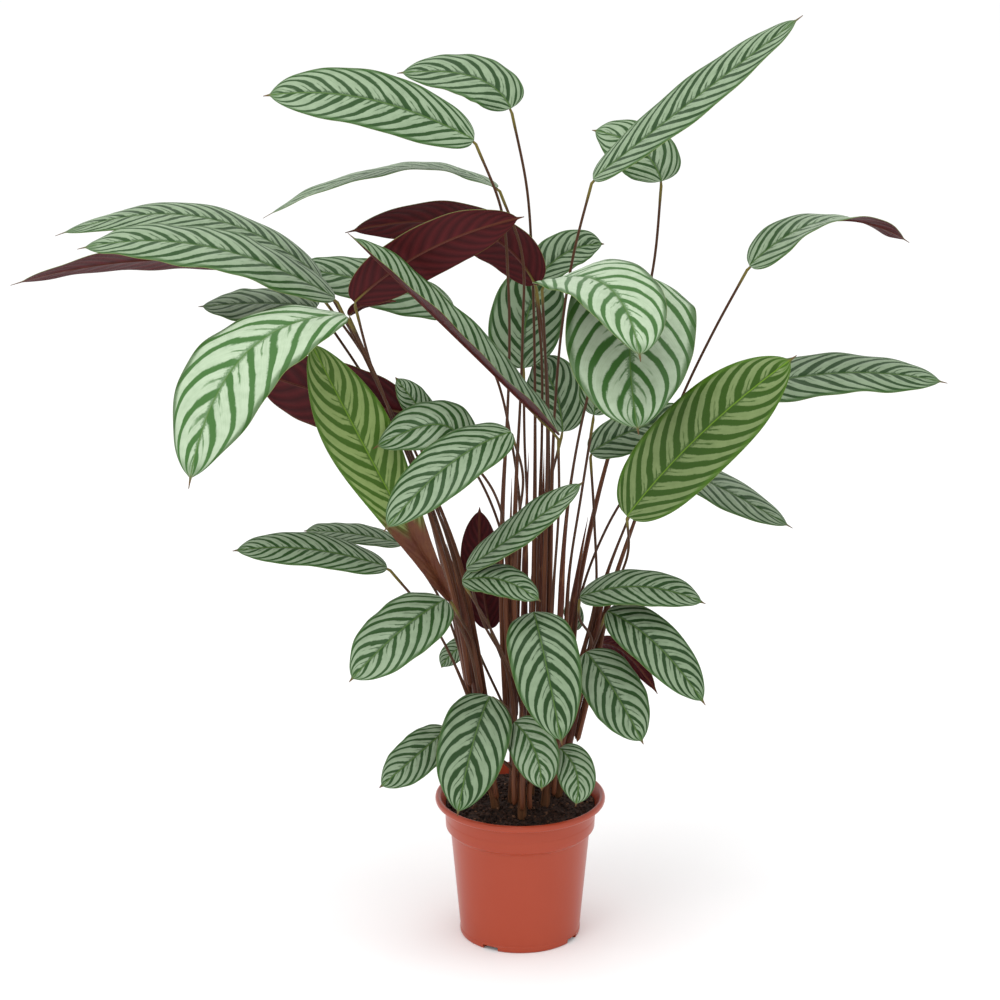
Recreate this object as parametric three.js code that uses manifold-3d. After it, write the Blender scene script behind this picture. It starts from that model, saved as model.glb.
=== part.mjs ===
// A potted ctenanthe (never-never plant): long banded leaves on thin stalks, cane-like shoots,
// a plastic nursery pot and its soil. Millimetres, +Z up, the front of the plant faces -Y.
// The origin is the middle of the pot's underside.
import * as THREE from "three";
import { mergeVertices } from "three/addons/utils/BufferGeometryUtils.js";
import Module from "manifold-3d";

const wasm = await Module();
wasm.setup();

// ---------------------------------------------------------------- driving dimensions: the pot
const POT_HEIGHT = 183;
const RIM_RADIUS = 105;
const BEAD_HEIGHT = 9;
const BEAD_INNER_RADIUS = 98.5;
const COLLAR_TOP_RADIUS = 94;
const COLLAR_FOOT_RADIUS = 92;
const COLLAR_FOOT_Z = 140;
const BODY_TOP_RADIUS = 86;
const BASE_RADIUS = 74.5;
const FOOT_BAND_HEIGHT = 7;
const WALL = 1.8;
const FLOOR_THICKNESS = 3;
const POT_SIDES = 36;
const NOTCH_COUNT = 4;
const NOTCH_WIDTH = 21;
const NOTCH_HEIGHT = 5.5;
const NOTCH_DEPTH = 12;
const FIRST_NOTCH_DEGREES = -120;

// ---------------------------------------------------------------- driving dimensions: the soil
const SOIL_EDGE_Z = 172;
const SOIL_MIDDLE_Z = 177;
const GAP = 0.35;

// ---------------------------------------------------------------- driving dimensions: the shoots
const CANE_FOOT_RADIUS = 5.5;
const CANE_TOP_RADIUS = 3;
const CANE_SIDES = 6;
const CANE_STEPS = 5;
const CANE_BURIED = 25;

// ---------------------------------------------------------------- driving dimensions: the leaves
const STALK_FOOT_RADIUS = 1.6;
const SHEATH_RADIUS = 3.1;
const STALK_RADIUS = 1.9;
const PULVINUS_RADIUS = 2.3;
const PULVINUS_LENGTH = 28;
const STALK_CLEARANCE = 1.7;
const STALK_STEP = 95;
const FEWEST_STALK_ROWS = 4;
const MOST_STALK_ROWS = 8;
const LEAF_COLUMNS = 8;
const MIDRIB_THICKNESS = 2.3;
const BLADE_THICKNESS = 1.4;
// Where the cross rows of a blade lie, from its base (0) to its tip (1).
const BLADE_ROWS = [0.05, 0.19, 0.38, 0.58, 0.78, 0.93];
// The columns of one row: across the upper side from one margin to the other, and back underneath.
const BLADE_COLUMNS = [
  { across: 1, sinks: 0 },
  { across: 0.5, sinks: 0 },
  { across: 0, sinks: 0 },
  { across: -0.5, sinks: 0 },
  { across: -1, sinks: 0 },
  { across: -0.6, sinks: BLADE_THICKNESS },
  { across: 0, sinks: MIDRIB_THICKNESS },
  { across: 0.6, sinks: BLADE_THICKNESS },
];

// ---------------------------------------------------------------- small helpers
const degrees = Math.PI / 180;
const point = ([x, y, z]) => new THREE.Vector3(x, y, z);
const mix = THREE.MathUtils.lerp;

function solidOf(geometry) {
  const bare = geometry.clone();
  bare.deleteAttribute("normal");
  bare.deleteAttribute("uv");
  const merged = mergeVertices(bare, 1e-4);
  return new wasm.Manifold(
    new wasm.Mesh({
      numProp: 3,
      vertProperties: merged.attributes.position.array,
      triVerts: new Uint32Array(merged.index.array),
    }),
  );
}

function geometryOf(solid) {
  const mesh = solid.getMesh();
  const geometry = new THREE.BufferGeometry();
  geometry.setAttribute("position", new THREE.BufferAttribute(mesh.vertProperties, 3));
  geometry.setIndex(new THREE.BufferAttribute(mesh.triVerts, 1));
  geometry.computeVertexNormals();
  return geometry;
}

function finish(colour, roughness) {
  return new THREE.MeshStandardMaterial({ color: colour, roughness, metalness: 0 });
}

// A lathe turned about +Z from [radius, height] pairs that start and end on the axis.
function turned(profile, sides) {
  const lathe = new THREE.LatheGeometry(
    profile.map(([radius, height]) => new THREE.Vector2(radius, height)),
    sides,
  );
  return lathe.rotateX(Math.PI / 2);
}

// A ball whose rings are drawn out: place(row, column) gives each vertex its new position.
function drawnOut(columns, rows, place) {
  const ball = new THREE.SphereGeometry(1, columns, rows);
  const position = ball.attributes.position;
  for (let row = 0; row <= rows; row++) {
    for (let column = 0; column <= columns; column++) {
      const spot = place(row, column % columns);
      position.setXYZ(row * (columns + 1) + column, spot.x, spot.y, spot.z);
    }
  }
  return ball;
}

// ---------------------------------------------------------------- pot
function pot() {
  const inner = (outer) => outer - WALL;
  const shell = solidOf(
    turned(
      [
        [0, 0],
        [BASE_RADIUS - 1.5, 0],
        [BASE_RADIUS, 1.5],
        [BASE_RADIUS + 0.5, FOOT_BAND_HEIGHT],
        [BODY_TOP_RADIUS, COLLAR_FOOT_Z - 4],
        [BODY_TOP_RADIUS + 3, COLLAR_FOOT_Z - 1],
        [COLLAR_FOOT_RADIUS, COLLAR_FOOT_Z + 2],
        [COLLAR_TOP_RADIUS, POT_HEIGHT - BEAD_HEIGHT - 1.5],
        [RIM_RADIUS - 1.5, POT_HEIGHT - BEAD_HEIGHT],
        [RIM_RADIUS, POT_HEIGHT - BEAD_HEIGHT / 2],
        [RIM_RADIUS - 1.8, POT_HEIGHT - 1],
        [(RIM_RADIUS + BEAD_INNER_RADIUS) / 2, POT_HEIGHT],
        [BEAD_INNER_RADIUS, POT_HEIGHT - 2],
        [inner(COLLAR_TOP_RADIUS), POT_HEIGHT - BEAD_HEIGHT - 3],
        [inner(COLLAR_FOOT_RADIUS), COLLAR_FOOT_Z + 4],
        [inner(BODY_TOP_RADIUS), COLLAR_FOOT_Z],
        [inner(BASE_RADIUS), FLOOR_THICKNESS],
        [0, FLOOR_THICKNESS],
      ],
      POT_SIDES,
    ),
  );
  let cut = shell;
  for (let i = 0; i < NOTCH_COUNT; i++) {
    const notch = new THREE.BoxGeometry(NOTCH_DEPTH, NOTCH_WIDTH, 2 * NOTCH_HEIGHT);
    notch.translate(BASE_RADIUS - NOTCH_DEPTH / 2 + 4, 0, 0);
    notch.rotateZ((FIRST_NOTCH_DEGREES + (i * 360) / NOTCH_COUNT) * degrees);
    cut = cut.subtract(solidOf(notch));
  }
  return cut;
}

// ---------------------------------------------------------------- soil
function soil(canes) {
  const edge = COLLAR_TOP_RADIUS - WALL - 0.8;
  const body = BODY_TOP_RADIUS - WALL - 0.8;
  const floor = BASE_RADIUS - WALL - 0.8;
  let lump = solidOf(
    turned(
      [
        [0, FLOOR_THICKNESS + GAP],
        [floor, FLOOR_THICKNESS + GAP],
        [body, COLLAR_FOOT_Z],
        [edge - 1.6, COLLAR_FOOT_Z + 5],
        [edge - 0.4, SOIL_EDGE_Z - 4],
        [edge * 0.93, SOIL_EDGE_Z],
        [edge * 0.5, SOIL_MIDDLE_Z],
        [0, SOIL_MIDDLE_Z + 1],
      ],
      POT_SIDES,
    ),
  );
  for (const cane of canes) lump = lump.subtract(solidOf(caneGeometry(cane, GAP)));
  return lump;
}

// ---------------------------------------------------------------- shoots
// Each shoot is a cane given by the points its middle passes through, from the soil upwards.
const SHOOTS = {
  left_front: [[-30, -30, 172], [-50, -34, 311], [-70, -36, 441], [-88, -36, 518]],
  left_back: [[-34, 14, 172], [-54, 14, 311], [-76, 16, 441], [-90, 18, 500]],
  middle_left: [[-10, -12, 172], [-8, -12, 300], [-13, -12, 440], [-11, -12, 590]],
  middle: [[12, 10, 172], [22, 10, 303], [26, 10, 486], [28, 12, 620]],
  middle_back: [[2, 44, 172], [4, 50, 303], [6, 58, 486], [10, 64, 600]],
  right_front: [[30, -24, 172], [40, -26, 299], [48, -28, 430], [55, -28, 560]],
  right: [[46, 8, 172], [66, 4, 280], [90, 2, 385], [108, 2, 476]],
  right_back: [[36, 40, 172], [50, 46, 300], [70, 56, 450], [82, 60, 520]],
  front: [[2, -54, 172], [2, -58, 240], [2, -60, 300], [2, -62, 350]],
};

function caneCurve(name) {
  return new THREE.CatmullRomCurve3(SHOOTS[name].map(point), false, "centripetal");
}

// The middle of a cane at a given height.
function caneAt(name, height) {
  const curve = caneCurve(name);
  let low = 0;
  let high = 1;
  for (let i = 0; i < 24; i++) {
    const half = (low + high) / 2;
    if (curve.getPoint(half).z < height) low = half;
    else high = half;
  }
  return curve.getPoint((low + high) / 2);
}

function caneGeometry(name, swell = 0) {
  const curve = caneCurve(name);
  const rings = CANE_STEPS + 2;
  return drawnOut(CANE_SIDES, rings + 1, (row, column) => {
    const along = THREE.MathUtils.clamp((row - 2) / (CANE_STEPS - 1), 0, 1);
    const middle = curve.getPoint(along);
    if (row <= 1) middle.z -= CANE_BURIED + swell;
    if (row === rings) middle.z += 1.5;
    if (row === rings + 1) middle.z += 2;
    const ends = row === 0 || row === rings + 1 ? 0 : 1;
    const soft = row === rings ? 0.6 : 1;
    const radius = ends * soft * (mix(CANE_FOOT_RADIUS, CANE_TOP_RADIUS, along) + swell);
    const turn = (column / CANE_SIDES) * 2 * Math.PI;
    return middle.add(new THREE.Vector3(Math.cos(turn), -Math.sin(turn), 0).multiplyScalar(radius));
  });
}

// ---------------------------------------------------------------- leaves
// beside: the shoot that the stalk runs up, the side of it (degrees from +X) and between which
//   heights; via: where the stalk then passes; base, middle, tip: the midrib;
// faces: which way the upper side looks, and tipFaces where the tip is turned another way;
// fold: how far each half is raised from flat at the midrib, or at the base and at the tip;
//   opens: the share of the length by which the second fold is reached; droop: how far each
//   half bends back down by its margin; slender: the blade narrows towards its base;
//   belly: the lower it is, the nearer to its base the blade is widest.
const LEAVES = {
  crown_left_leaf: {
    beside: ["middle_left", 180, 300, 560], via: [[-14, -30, 760], [-22, -40, 930]],
    base: [-55, -40, 1022], middle: [-175, -55, 1074], tip: [-290, -60, 1080],
    width: 82, faces: [0, -0.64, 0.77], fold: 12, droop: -25,
  },
  crown_back_leaf: {
    beside: ["middle", 170, 250, 560], via: [[16, 45, 760], [8, 55, 930]],
    base: [-12, 60, 1035], middle: [-56, 75, 1070], tip: [-140, 88, 1072],
    width: 86, faces: [0, -0.35, 0.93], fold: 10, droop: -20,
  },
  crown_thin_leaf: {
    beside: ["middle_left", 60, 330, 570], via: [[2, 2, 780], [-2, 2, 905]],
    base: [-27, 0, 955], middle: [-145, 10, 976], tip: [-292, -15, 928],
    width: 90, faces: [0, 0.15, 0.99], fold: 5, droop: -10,
  },
  crown_right_leaf: {
    beside: ["middle", 350, 300, 590], via: [[46, -2, 760], [67, 0, 905]],
    base: [84, 0, 965], middle: [200, -10, 1063], tip: [317, -10, 1156],
    width: 84, faces: [-0.55, -0.3, 0.7], fold: 12, droop: -20,
  },
  crown_right_back_leaf: {
    beside: ["right_back", 60, 340, 500], via: [[116, 96, 620], [162, 84, 850]],
    base: [168, 80, 941], middle: [142, 104, 976], tip: [90, 125, 992],
    width: 82, faces: [0, -0.5, 0.85], fold: 10, droop: -25,
  },
  right_arching_leaf: {
    beside: ["right", 40, 250, 450], via: [[152, 12, 575], [195, 6, 700], [242, 2, 805]],
    base: [270, 0, 859], middle: [358, 0, 914], tip: [450, -15, 896],
    width: 90, faces: [-0.1, -0.35, 0.9], tipFaces: [0.2, 0.5, 0.7], fold: 10, droop: -15,
  },
  maroon_front_leaf: {
    beside: ["left_front", 110, 260, 500], via: [[-130, -46, 640], [-190, -60, 780]],
    base: [-196, -60, 832], middle: [-110, -80, 900], tip: [-5, -70, 936],
    width: 70, faces: [0, 0.96, 0.28], fold: 10, droop: -25,
  },
  maroon_back_leaf: {
    beside: ["middle", 50, 330, 580], via: [[32, 36, 700]],
    base: [18, 40, 824], middle: [-61, 30, 898], tip: [-197, 20, 897],
    width: 76, faces: [0, 0.85, 0.53], fold: 8, droop: -20,
  },
  left_upper_leaf: {
    beside: ["left_back", 120, 260, 500], via: [[-150, 30, 660], [-214, 32, 790]],
    base: [-238, 32, 834], middle: [-378, 50, 905], tip: [-544, 60, 884],
    width: 86, faces: [0, -0.12, 0.99], fold: 6, droop: -20,
  },
  left_long_leaf: {
    beside: ["left_front", 170, 240, 480], via: [[-140, -30, 650], [-196, -30, 780]],
    base: [-219, -30, 828], middle: [-365, -38, 893], tip: [-510, -40, 893],
    width: 100, faces: [0, -0.22, 0.97], fold: 10, droop: -25,
  },
  left_far_leaf: {
    beside: ["left_back", 180, 240, 500], via: [[-142, 6, 650], [-208, 2, 785]],
    base: [-241, 14, 822], middle: [-403, 36, 857], tip: [-594, 30, 831],
    width: 82, faces: [0, 0.54, 0.84], fold: 6, droop: -10,
  },
  left_small_leaf: {
    beside: ["left_back", 60, 280, 500], via: [[-150, 48, 640], [-222, 60, 760]],
    base: [-245, 62, 790], middle: [-308, 80, 790], tip: [-384, 90, 783],
    width: 80, faces: [0, -0.25, 0.97], fold: 5, droop: -15,
  },
  left_broad_leaf: {
    beside: ["left_front", 230, 340, 480], via: [[-122, -40, 600], [-166, -78, 730]],
    base: [-204, -120, 834], middle: [-318, -186, 806], tip: [-377, -260, 683],
    width: 128, faces: [-0.05, 0, 1], tipFaces: [-0.5, -0.85, 0.25], fold: 8, droop: -25,
  },
  left_turned_leaf: {
    beside: ["left_back", 300, 280, 470], via: [[-112, 0, 600]],
    base: [-130, -8, 678], middle: [-228, 10, 696], tip: [-315, 22, 721],
    width: 94, faces: [0, 0.98, 0.19], fold: 6, droop: -15,
  },
  young_green_leaf: {
    beside: ["left_front", 300, 330, 400], via: [],
    base: [-84, -76, 464], middle: [-162, -80, 614], tip: [-245, -76, 784],
    width: 94, faces: [0, -0.95, 0.3], fold: [58, 6], droop: -10, slender: true, opens: 0.45,
  },
  left_rolled_leaf: {
    beside: ["left_back", 0, 300, 500], via: [[-136, 20, 640], [-186, 20, 740]],
    base: [-205, 2, 797], middle: [-184, 4, 811], tip: [-151, 2, 815],
    width: 20, faces: [-0.5, 0.8, 0.5], fold: 20, droop: -20,
  },
  left_low_leaf: {
    beside: ["left_front", 235, 200, 300], via: [[-100, -62, 420]],
    base: [-160, -60, 502], middle: [-251, -80, 532], tip: [-337, -90, 534],
    width: 58, faces: [0, -0.42, 0.9], fold: 10, droop: -25,
  },
  left_low_back_leaf: {
    beside: ["left_back", 230, 200, 330], via: [[-100, 8, 440]],
    base: [-142, 12, 506], middle: [-207, 22, 516], tip: [-260, 22, 519],
    width: 46, faces: [0, -0.2, 0.97], fold: 10, droop: -20,
  },
  left_round_leaf: {
    beside: ["left_front", 295, 190, 270], via: [[-60, -90, 400]],
    base: [-90, -120, 483], middle: [-142, -168, 462], tip: [-198, -200, 414],
    width: 82, faces: [-0.3, -0.72, 0.62], fold: 8, droop: -22,
  },
  inner_left_leaf: {
    beside: ["middle_left", 240, 350, 520], via: [[-34, -60, 600]],
    base: [-69, -90, 660], middle: [-98, -98, 694], tip: [-168, -100, 668],
    width: 70, faces: [0, -0.62, 0.78], fold: 12, droop: -28,
  },
  inner_upright_leaf: {
    beside: ["middle_left", 120, 260, 500], via: [[-50, 10, 590]],
    base: [-92, -40, 654], middle: [-120, -44, 696], tip: [-147, -40, 731],
    width: 38, faces: [0.3, -0.75, 0.5], fold: 12, droop: -20,
  },
  inner_front_leaf: {
    beside: ["middle_left", 300, 350, 500], via: [[2, -70, 610]],
    base: [-12, -130, 695], middle: [-83, -172, 670], tip: [-154, -220, 610],
    width: 78, faces: [-0.1, -0.5, 0.86], fold: 8, droop: -20,
  },
  slanting_leaf: {
    beside: ["middle_left", 270, 190, 330], via: [[-46, -78, 440]],
    base: [-65, -110, 519], middle: [2, -120, 572], tip: [69, -112, 624],
    width: 56, faces: [-0.3, -0.4, 0.85], fold: 14, droop: -20,
  },
  middle_hanging_leaf: {
    beside: ["middle", 255, 190, 290], via: [[-20, -60, 380], [-44, -92, 450]],
    base: [-70, -124, 508], middle: [-25, -136, 514], tip: [20, -150, 494],
    width: 48, faces: [0, -0.5, 0.86], fold: 10, droop: -25,
  },
  bright_leaf: {
    beside: ["middle", 290, 340, 590], via: [[30, -30, 740]],
    base: [24, -62, 853], middle: [96, -146, 878], tip: [132, -262, 830],
    width: 112, faces: [0, 0.25, 1], tipFaces: [1, -2.6, 1.2], fold: 15, droop: -22,
  },
  folded_tip_leaf: {
    beside: ["middle", 110, 380, 600], via: [[26, 64, 720]],
    base: [17, 80, 816], middle: [54, 110, 844], tip: [98, 122, 852],
    width: 58, faces: [0, -0.55, 0.83], fold: 25, droop: -30,
  },
  back_grey_leaf: {
    beside: ["middle_back", 150, 260, 540], via: [[-30, 100, 690]],
    base: [-81, 122, 768], middle: [-176, 114, 805], tip: [-268, 104, 826],
    width: 84, faces: [0, -0.42, 0.9], fold: 8, droop: -20,
  },
  back_low_leaf: {
    beside: ["middle_back", 0, 240, 480], via: [[40, 96, 560]],
    base: [52, 112, 616], middle: [42, 140, 662], tip: [18, 152, 694],
    width: 72, faces: [0.1, -0.85, 0.5], fold: 10, droop: -30,
  },
  back_upright_leaf: {
    beside: ["middle_back", 90, 260, 560], via: [[4, 100, 630]],
    base: [4, 130, 692], middle: [8, 150, 752], tip: [36, 165, 814],
    width: 90, faces: [-0.1, -0.97, 0.2], fold: 10, droop: -20,
  },
  brown_upright_leaf: {
    beside: ["middle_back", 260, 190, 280], via: [],
    base: [-37, 52, 380], middle: [-48, 54, 455], tip: [-50, 56, 532],
    width: 50, faces: [0, 0.98, -0.1], fold: 12, droop: -25,
  },
  low_dark_leaf: {
    beside: ["middle_back", 200, 184, 250], via: [[-38, 54, 310]],
    base: [-58, 62, 360], middle: [-82, 66, 345], tip: [-97, 66, 325],
    width: 28, faces: [-0.3, -0.8, 0.4], fold: 8, droop: -20,
  },
  folded_long_leaf: {
    beside: ["right_front", 180, 260, 540], via: [],
    base: [44, -60, 668], middle: [-82, -100, 808], tip: [-193, -110, 922],
    width: 72, faces: [0.6, -0.1, 0.75], fold: 34, droop: -12,
  },
  broad_hanging_leaf: {
    beside: ["right_front", 90, 300, 540], via: [[74, -24, 680], [118, -22, 830]],
    base: [144, -34, 858], middle: [126, -122, 806], tip: [132, -222, 730],
    width: 152, faces: [0, -0.85, 0.5], fold: 6, droop: -18, belly: 0.74,
  },
  inner_small_leaf: {
    beside: ["right_front", 30, 280, 520], via: [[76, -22, 600]],
    base: [87, -20, 680], middle: [92, 0, 712], tip: [95, 20, 748],
    width: 46, faces: [0.2, -0.95, 0.3], fold: 12, droop: -20,
  },
  low_right_dark_leaf: {
    beside: ["right_front", 330, 190, 300], via: [[62, -50, 370]],
    base: [79, -60, 393], middle: [112, -92, 356], tip: [145, -114, 300],
    width: 74, faces: [0.25, -0.75, 0.55], fold: 8, droop: -20,
  },
  centre_front_leaf: {
    beside: ["right_front", 240, 200, 360], via: [[22, -84, 440]],
    base: [15, -112, 464], middle: [28, -162, 424], tip: [47, -192, 333],
    width: 84, faces: [0.1, -0.9, 0.42], fold: 6, droop: -22,
  },
  olive_leaf: {
    beside: ["right", 340, 250, 450], via: [[130, -52, 525]],
    base: [125, -100, 580], middle: [207, -130, 690], tip: [310, -140, 785],
    width: 96, faces: [-0.1, -0.94, 0.3], fold: 6, droop: -15,
  },
  right_long_leaf: {
    beside: ["right", 100, 280, 460], via: [[152, -10, 600]],
    base: [203, 20, 682], middle: [360, 10, 722], tip: [500, 0, 716],
    width: 94, faces: [0, -0.25, 0.97], fold: 8, droop: -20,
  },
  right_low_back_leaf: {
    beside: ["right_back", 0, 220, 460], via: [[124, 60, 545]],
    base: [157, 62, 597], middle: [232, 72, 564], tip: [326, 62, 513],
    width: 84, faces: [0, -0.2, 0.97], fold: 8, droop: -20,
  },
  right_dark_leaf: {
    beside: ["right", 160, 260, 440], via: [[86, 26, 560]],
    base: [84, 30, 616], middle: [145, 44, 644], tip: [218, 50, 658],
    width: 64, faces: [0, -0.5, 0.86], fold: 8, droop: -20,
  },
  right_low_leaf: {
    beside: ["right", 220, 200, 330], via: [[92, -30, 400]],
    base: [104, -50, 442], middle: [161, -82, 413], tip: [217, -112, 351],
    width: 66, faces: [0.2, -0.7, 0.68], fold: 8, droop: -22,
  },
  right_shelf_leaf: {
    beside: ["right", 270, 320, 380], via: [],
    base: [71, -44, 458], middle: [143, -62, 478], tip: [216, -72, 462],
    width: 60, faces: [0, -0.44, 0.9], fold: 8, droop: -22,
  },
  right_edge_on_leaf: {
    beside: ["right_back", 300, 190, 290], via: [],
    base: [84, 38, 362], middle: [122, 44, 358], tip: [166, 32, 308],
    width: 34, faces: [0.1, 0.8, 0.6], fold: 8, droop: -15,
  },
  low_back_leaf: {
    beside: ["right_back", 150, 190, 300], via: [],
    base: [68, 78, 368], middle: [66, 92, 386], tip: [58, 102, 396],
    width: 24, faces: [0, -0.8, 0.6], fold: 8, droop: -15,
  },
  pot_rim_leaf: {
    beside: ["front", 200, 190, 300], via: [],
    base: [-37, -90, 348], middle: [-57, -128, 304], tip: [-75, -150, 224],
    width: 84, faces: [-0.1, -0.9, 0.42], fold: 6, droop: -20,
  },
  small_front_leaf: {
    beside: ["front", 270, 186, 270], via: [],
    base: [-8, -100, 318], middle: [16, -122, 292], tip: [25, -132, 246],
    width: 58, faces: [0.1, -0.9, 0.42], fold: 6, droop: -20,
  },
  small_right_leaf: {
    beside: ["front", 340, 184, 220], via: [],
    base: [47, -90, 280], middle: [67, -106, 256], tip: [67, -116, 219],
    width: 48, faces: [0.2, -0.85, 0.5], fold: 6, droop: -20,
  },
  small_left_leaf: {
    beside: ["front", 130, 188, 230], via: [[-50, -56, 272]],
    base: [-89, -56, 292], middle: [-126, -80, 267], tip: [-168, -92, 232],
    width: 56, faces: [-0.2, -0.72, 0.66], fold: 6, droop: -20,
  },
};

// How wide a blade is along its length, as a share of its full width: oblong, with a blunt base
// and an end that narrows a little more.
function outline(along, { slender, belly = 0.92 }) {
  const bulk = 1 - Math.pow(Math.abs(2 * Math.pow(along, belly) - 1), 2.4);
  const full = Math.pow(bulk, mix(0.5, 0.66, THREE.MathUtils.smoothstep(along, 0.55, 1)));
  return slender ? full * mix(0.36, 1, THREE.MathUtils.smoothstep(along, 0.15, 0.8)) : full;
}

function stalkRadius(along, length) {
  const pulvinus = length * (1 - along) < PULVINUS_LENGTH;
  const sheath = THREE.MathUtils.smoothstep(along, 0, 0.12);
  const thin = THREE.MathUtils.smoothstep(along, 0.3, 0.7);
  const radius = mix(mix(STALK_FOOT_RADIUS, SHEATH_RADIUS, sheath), STALK_RADIUS, thin);
  return pulvinus ? PULVINUS_RADIUS : radius;
}

function leafGeometry(leaf) {
  const [shoot, side, from, to] = leaf.beside;
  const aside = new THREE.Vector3(Math.cos(side * degrees), Math.sin(side * degrees), 0);
  aside.multiplyScalar(CANE_FOOT_RADIUS + SHEATH_RADIUS + STALK_CLEARANCE);
  const along = [from, (from + to) / 2, to].map((height) => caneAt(shoot, height).add(aside));

  const base = point(leaf.base);
  const tip = point(leaf.tip);
  const bend = point(leaf.middle).multiplyScalar(2);
  bend.sub(base.clone().add(tip).multiplyScalar(0.5));
  const midrib = new THREE.QuadraticBezierCurve3(base, bend, tip);

  const route = [...along, ...leaf.via.map(point)];
  const arriving = base.clone().sub(route.at(-1)).normalize();
  const leaving = midrib.getTangent(0).multiplyScalar(0.35);
  const neck = arriving.add(leaving).normalize().multiplyScalar(-PULVINUS_LENGTH).add(base);
  const stalk = new THREE.CatmullRomCurve3([...route, neck, base], false, "centripetal");
  const stalkLength = stalk.getLength();

  const faces = point(leaf.faces);
  const tipFaces = point(leaf.tipFaces ?? leaf.faces);
  const [foldBase, foldTip] = Array.isArray(leaf.fold) ? leaf.fold : [leaf.fold, leaf.fold];

  function frameAt(share) {
    const ahead = midrib.getTangent(share);
    const up = faces.clone().lerp(tipFaces, share);
    up.addScaledVector(ahead, -up.dot(ahead)).normalize();
    return { ahead, up, out: new THREE.Vector3().crossVectors(ahead, up) };
  }

  function bladePoint(share, { across, sinks }) {
    const { up, out } = frameAt(share);
    const half = (leaf.width / 2) * outline(share, leaf);
    const reach = Math.abs(across);
    const fold = mix(foldBase, foldTip, THREE.MathUtils.smoothstep(share, 0, leaf.opens ?? 1));
    const rise = (fold + (leaf.droop * reach) / 2) * degrees;
    const spot = midrib.getPoint(share);
    spot.addScaledVector(out, Math.sign(across) * half * reach * Math.cos(rise));
    spot.addScaledVector(up, half * reach * Math.sin(rise));
    return spot.addScaledVector(up, -sinks * Math.min(1, half / 12));
  }

  // The stalk's cross direction is carried down from the blade without twisting.
  const rows = THREE.MathUtils.clamp(
    Math.round(stalkLength / STALK_STEP),
    FEWEST_STALK_ROWS,
    MOST_STALK_ROWS,
  );
  const rings = [];
  let out = frameAt(0).out;
  for (let i = rows; i >= 0; i--) {
    const share = i / rows;
    const ahead = stalk.getTangentAt(share);
    if (i === rows) ahead.add(midrib.getTangent(0)).normalize();
    out = out.clone().addScaledVector(ahead, -out.dot(ahead)).normalize();
    const up = new THREE.Vector3().crossVectors(out, ahead);
    rings[i] = { middle: stalk.getPointAt(share), out, up, radius: stalkRadius(share, stalkLength) };
  }

  function stalkPoint(i, column) {
    const { middle, out, up, radius } = rings[i];
    const turn = (column / LEAF_COLUMNS) * 2 * Math.PI;
    const spot = middle.clone().addScaledVector(out, Math.cos(turn) * radius);
    return spot.addScaledVector(up, Math.sin(turn) * radius);
  }

  const lastRow = rows + BLADE_ROWS.length + 2;
  const skin = drawnOut(LEAF_COLUMNS, lastRow, (row, column) => {
    if (row === 0) return rings[0].middle.clone();
    if (row <= rows + 1) return stalkPoint(row - 1, column);
    if (row === lastRow) return tip.clone();
    return bladePoint(BLADE_ROWS[row - rows - 2], BLADE_COLUMNS[column]);
  });
  return matchedUnderside(skin, rows + 1);
}

// Turns the diagonals of the blade's underside to run as those above them do, so that the two
// sides of a twisted blade stay parallel.
function matchedUnderside(skin, firstBladeRow) {
  const across = LEAF_COLUMNS + 1;
  const corners = Array.from(skin.index.array);
  for (let k = 0; k + 5 < corners.length; k += 3) {
    const [a, b, d] = corners.slice(k, k + 3);
    const isPair = corners[k + 3] === b && corners[k + 5] === d;
    if (!isPair) continue;
    const row = Math.floor(b / across);
    if (row >= firstBladeRow && b % across >= LEAF_COLUMNS / 2) {
      const c = corners[k + 4];
      corners.splice(k, 6, a, b, c, a, c, d);
    }
    k += 3;
  }
  skin.setIndex(corners);
  return skin;
}

// ---------------------------------------------------------------- the whole plant
const TERRACOTTA = finish(0xb8583e, 0.45);
const PEAT = finish(0x2d1c14, 0.95);
const CANE = finish(0x5a2a20, 0.6);
const LEAF = finish(0x7f9c78, 0.5);

const plant = new THREE.Group();

function add(name, geometry, material) {
  const mesh = new THREE.Mesh(geometry, material.clone());
  mesh.name = name;
  plant.add(mesh);
}

add("pot", geometryOf(pot()), TERRACOTTA);
add("soil", geometryOf(soil(Object.keys(SHOOTS))), PEAT);
for (const name of Object.keys(SHOOTS)) add(`${name}_shoot`, caneGeometry(name), CANE);
for (const [name, leaf] of Object.entries(LEAVES)) add(name, leafGeometry(leaf), LEAF);

export default plant;
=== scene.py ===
# %% [markdown]
# # A potted ctenanthe
# A never-never plant: long leaves banded in silver and dark green, burgundy underneath, on thin
# stalks that rise from reddish shoots in a plastic nursery pot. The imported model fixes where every
# leaf, shoot and the pot are. This lesson measures each of them and builds the finished surface there.

# %% Load the frame and keep its box
import math
import random

import bmesh
import bpy
import numpy as np
from mathutils import Euler, Matrix, Vector, noise


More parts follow.
